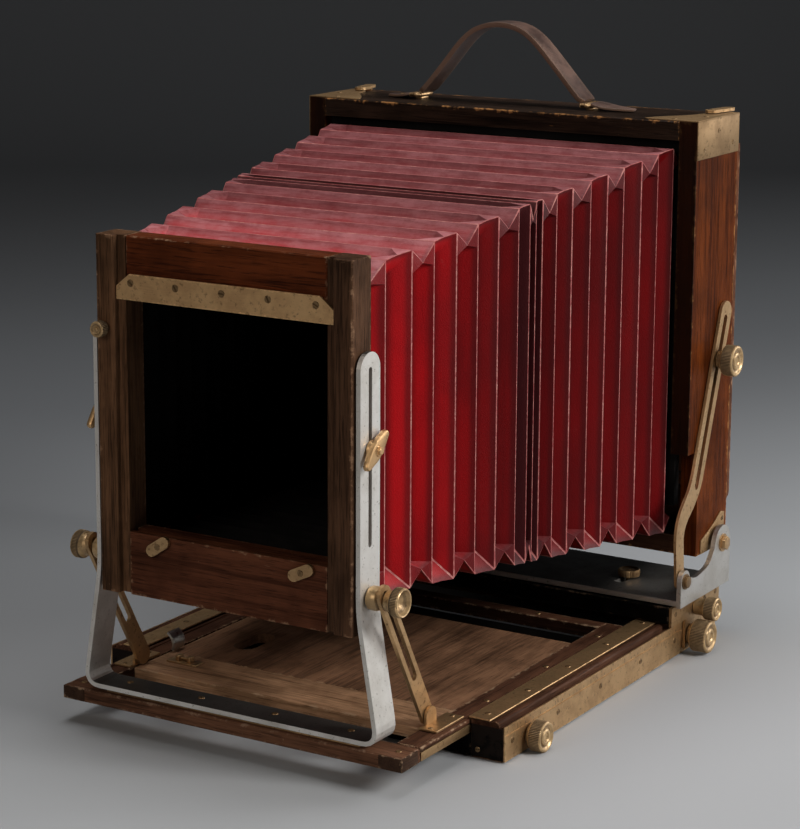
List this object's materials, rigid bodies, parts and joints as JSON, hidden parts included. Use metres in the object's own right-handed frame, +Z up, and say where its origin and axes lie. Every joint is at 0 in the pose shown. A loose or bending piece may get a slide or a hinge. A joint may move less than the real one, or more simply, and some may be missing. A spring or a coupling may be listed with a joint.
{
  "type": "large format view camera",
  "caption": "Wooden folding-bed view camera with a sliding front bed, metal yokes, slotted brass stays, red pleated bellows, a lift-off ground-glass back and a strap handle.",
  "frame": {"origin": "centre of the bed's underside, where the tripod plate sits", "axes": "+Y from the lens side to the ground glass, +Z up, +X to the right as seen from the lens side: the side with the focusing knobs"},
  "size_m": [0.3452, 0.4284, 0.4341],
  "materials": {
    "mahogany": "dark stained and varnished mahogany, rubbed at the edges",
    "aged_brass": "lacquered brass, dulled",
    "black_lacquer": "ebonised wood, satin black",
    "aluminium": "cast and rolled aluminium, matt",
    "spring_steel": "bright spring steel",
    "red_leather": "oxblood red bellows leather with rubbed pink pleat edges",
    "brown_leather": "worn brown strap leather",
    "ground_glass": "finely ground, translucent"
  },
  "bodies": {
    "bed": {"bed_rail_left": "mahogany", "bed_rail_right": "mahogany", "bed_front_bar": "black_lacquer", "bed_rear_bar": "mahogany", "tripod_block": "mahogany", "rail_top_plate_left": "aged_brass", "rail_top_plate_right": "aged_brass", "rail_side_plate_left": "aged_brass", "rail_side_plate_right": "aged_brass"},
    "sled": {"sled_front_rail": "mahogany", "sled_rail_left": "mahogany", "sled_rail_right": "mahogany", "sled_cross_board": "mahogany", "sled_panel": "mahogany", "sled_rear_bar": "mahogany", "brace_foot_left": "aged_brass", "brace_foot_right": "aged_brass"},
    "catch": {"catch_lever": "spring_steel"},
    "front_pinion": {"front_focus_knob": "aged_brass"},
    "front_yoke": {"front_yoke": "aluminium"},
    "brace_left": {"brace_left": "aged_brass"},
    "brace_right": {"brace_right": "aged_brass"},
    "brace_knob_left": {"brace_knob_left": "aged_brass"},
    "brace_knob_right": {"brace_knob_right": "aged_brass"},
    "slide_studs": {"slide_stud_left": "aged_brass", "slide_stud_right": "aged_brass"},
    "wing_nut_left": {"wing_nut_left": "aged_brass"},
    "wing_nut_right": {"wing_nut_right": "aged_brass"},
    "front_frame": {"front_stile_left": "mahogany", "front_stile_right": "mahogany", "front_top_rail": "mahogany", "front_bottom_rail": "mahogany", "lens_board_retainer": "aged_brass"},
    "turn_button_left": {"turn_button_left": "aged_brass"},
    "turn_button_right": {"turn_button_right": "aged_brass"},
    "front_lock": {"front_lock_knob": "aged_brass"},
    "carriage": {"carriage_block": "black_lacquer", "carriage_side_left": "aged_brass", "carriage_side_right": "aged_brass"},
    "rear_pinion": {"rear_focus_knob": "aged_brass"},
    "carriage_lock": {"carriage_lock_knob": "aged_brass"},
    "swing_nut_left": {"swing_nut_left": "aged_brass"},
    "swing_nut_right": {"swing_nut_right": "aged_brass"},
    "rear_yoke": {"rear_yoke": "aluminium"},
    "rear_frame": {"rear_side_left": "mahogany", "rear_side_right": "mahogany", "rear_top_board": "mahogany", "rear_bottom_rail": "mahogany", "bellows": "red_leather"},
    "rear_stay_left": {"rear_stay_left": "aged_brass"},
    "rear_stay_right": {"rear_stay_right": "aged_brass"},
    "stay_knob_left": {"stay_knob_left": "aged_brass"},
    "stay_knob_right": {"stay_knob_right": "aged_brass"},
    "back_latch_left": {"back_latch_left": "aged_brass"},
    "back_latch_right": {"back_latch_right": "aged_brass"},
    "back": {"back_frame": "mahogany"},
    "glass_holder": {"ground_glass_frame": "mahogany", "ground_glass": "ground_glass"},
    "handle": {"handle_strap": "brown_leather"}
  },
  "joints": [
    {"name": "front_focus", "type": "slide", "parent": "bed", "child": "sled", "axis": [0, 1, 0], "range_m": [-0.1, 0.04], "deforming": ["bellows"]},
    {"name": "front_pinion_turn", "type": "hinge", "parent": "bed", "child": "front_pinion", "pos_m": [0.16, -0.1245, 0.0095], "axis": [1, 0, 0], "range_deg": [-460, 1130]},
    {"name": "catch_fold", "type": "hinge", "parent": "sled", "child": "catch", "pos_m": [-0.108, -0.141, 0.0252], "axis": [0, 1, 0], "range_deg": [0, 50]},
    {"name": "yoke_tilt", "type": "hinge", "parent": "sled", "child": "front_yoke", "pos_m": [0, -0.2275, 0.025], "axis": [1, 0, 0], "range_deg": [-6, 5], "deforming": ["bellows"]},
    {"name": "brace_turn_left", "type": "hinge", "parent": "sled", "child": "brace_left", "pos_m": [-0.1093, -0.1785, 0.0305], "axis": [1, 0, 0], "range_deg": [-5, 5]},
    {"name": "brace_knob_turn_left", "type": "hinge", "parent": "front_yoke", "child": "brace_knob_left", "pos_m": [-0.11, -0.2275, 0.117], "axis": [1, 0, 0], "range_deg": [-180, 180]},
    {"name": "brace_turn_right", "type": "hinge", "parent": "sled", "child": "brace_right", "pos_m": [0.1093, -0.1785, 0.0305], "axis": [1, 0, 0], "range_deg": [-5, 5]},
    {"name": "brace_knob_turn_right", "type": "hinge", "parent": "front_yoke", "child": "brace_knob_right", "pos_m": [0.11, -0.2275, 0.117], "axis": [1, 0, 0], "range_deg": [-180, 180]},
    {"name": "front_rise", "type": "slide", "parent": "front_yoke", "child": "slide_studs", "axis": [0, 0, 1], "range_m": [-0.056, 0.046], "deforming": ["bellows"]},
    {"name": "wing_nut_turn_left", "type": "hinge", "parent": "slide_studs", "child": "wing_nut_left", "pos_m": [-0.1, -0.2275, 0.208], "axis": [1, 0, 0], "range_deg": [-90, 270]},
    {"name": "wing_nut_turn_right", "type": "hinge", "parent": "slide_studs", "child": "wing_nut_right", "pos_m": [0.1, -0.2275, 0.208], "axis": [1, 0, 0], "range_deg": [-90, 270]},
    {"name": "front_tilt", "type": "hinge", "parent": "slide_studs", "child": "front_frame", "pos_m": [0, -0.2275, 0.208], "axis": [1, 0, 0], "range_deg": [-10, 10], "deforming": ["bellows"]},
    {"name": "turn_button_left_turn", "type": "hinge", "parent": "front_frame", "child": "turn_button_left", "pos_m": [-0.051, -0.2363, 0.128], "axis": [0, 1, 0], "range_deg": [-56, 34]},
    {"name": "turn_button_right_turn", "type": "hinge", "parent": "front_frame", "child": "turn_button_right", "pos_m": [0.056, -0.2363, 0.128], "axis": [0, 1, 0], "range_deg": [-65, 25]},
    {"name": "front_lock_turn", "type": "hinge", "parent": "front_frame", "child": "front_lock", "pos_m": [-0.088, -0.2448, 0.264], "axis": [0, 1, 0], "range_deg": [-180, 180]},
    {"name": "rear_focus", "type": "slide", "parent": "bed", "child": "carriage", "axis": [0, 1, 0], "range_m": [-0.055, 0], "deforming": ["bellows"]},
    {"name": "rear_pinion_turn", "type": "hinge", "parent": "carriage", "child": "rear_pinion", "pos_m": [0.163, 0.1085, 0.0122], "axis": [1, 0, 0], "range_deg": [-400, 5]},
    {"name": "carriage_lock_turn", "type": "hinge", "parent": "carriage", "child": "carriage_lock", "pos_m": [0.163, 0.117, 0.0304], "axis": [1, 0, 0], "range_deg": [-45, 180]},
    {"name": "swing_nut_turn_left", "type": "hinge", "parent": "carriage", "child": "swing_nut_left", "pos_m": [-0.103, 0.117, 0.0439], "axis": [0, 0, 1], "range_deg": [-90, 270]},
    {"name": "swing_nut_turn_right", "type": "hinge", "parent": "carriage", "child": "swing_nut_right", "pos_m": [0.103, 0.117, 0.0439], "axis": [0, 0, 1], "range_deg": [-90, 270]},
    {"name": "rear_swing", "type": "hinge", "parent": "carriage", "child": "rear_yoke", "pos_m": [0, 0.117, 0.0396], "axis": [0, 0, 1], "range_deg": [-5, 5], "deforming": ["bellows"]},
    {"name": "rear_tilt", "type": "hinge", "parent": "rear_yoke", "child": "rear_frame", "pos_m": [0, 0.146, 0.071], "axis": [1, 0, 0], "range_deg": [-8, 8], "deforming": ["bellows"]},
    {"name": "rear_stay_turn_left", "type": "hinge", "parent": "rear_yoke", "child": "rear_stay_left", "pos_m": [-0.157, 0.0845, 0.0575], "axis": [1, 0, 0], "range_deg": [-6.5, 6.5]},
    {"name": "stay_knob_turn_left", "type": "hinge", "parent": "rear_frame", "child": "stay_knob_left", "pos_m": [-0.16, 0.13768, 0.20522], "axis": [1, 0, 0], "range_deg": [-180, 180]},
    {"name": "rear_stay_turn_right", "type": "hinge", "parent": "rear_yoke", "child": "rear_stay_right", "pos_m": [0.157, 0.0845, 0.0575], "axis": [1, 0, 0], "range_deg": [-6.5, 6.5]},
    {"name": "stay_knob_turn_right", "type": "hinge", "parent": "rear_frame", "child": "stay_knob_right", "pos_m": [0.16, 0.13768, 0.20522], "axis": [1, 0, 0], "range_deg": [-180, 180]},
    {"name": "back_latch_turn_left", "type": "hinge", "parent": "rear_frame", "child": "back_latch_left", "pos_m": [-0.143, 0.146, 0.3744], "axis": [0, 0, 1], "range_deg": [-90, 0]},
    {"name": "back_latch_turn_right", "type": "hinge", "parent": "rear_frame", "child": "back_latch_right", "pos_m": [0.143, 0.146, 0.3744], "axis": [0, 0, 1], "range_deg": [0, 90]},
    {"name": "back_lift_off", "type": "slide", "parent": "rear_frame", "child": "back", "axis": [0, 1, 0], "range_m": [0, 0.05]},
    {"name": "ground_glass_spring", "type": "slide", "parent": "back", "child": "glass_holder", "axis": [0, 1, 0], "range_m": [0, 0.012], "stiffness_N_per_m": 500, "springref_m": -0.012},
    {"name": "handle_lean", "type": "hinge", "parent": "rear_frame", "child": "handle", "pos_m": [-0.011, 0.1315, 0.379], "axis": [1, 0, 0], "range_deg": [-12, 12]}
  ],
  "couplings": [
    {"joint": "front_pinion_turn", "follows": "front_focus", "rad_per_m": -196},
    {"joint": "rear_pinion_turn", "follows": "rear_focus", "rad_per_m": 125},
    {"joint": "brace_turn_left", "follows": "yoke_tilt", "ratio": 0.804},
    {"joint": "rear_stay_turn_left", "follows": "rear_tilt", "ratio": 0.786},
    {"joint": "brace_turn_right", "follows": "yoke_tilt", "ratio": 0.804},
    {"joint": "rear_stay_turn_right", "follows": "rear_tilt", "ratio": 0.786}
  ]
}
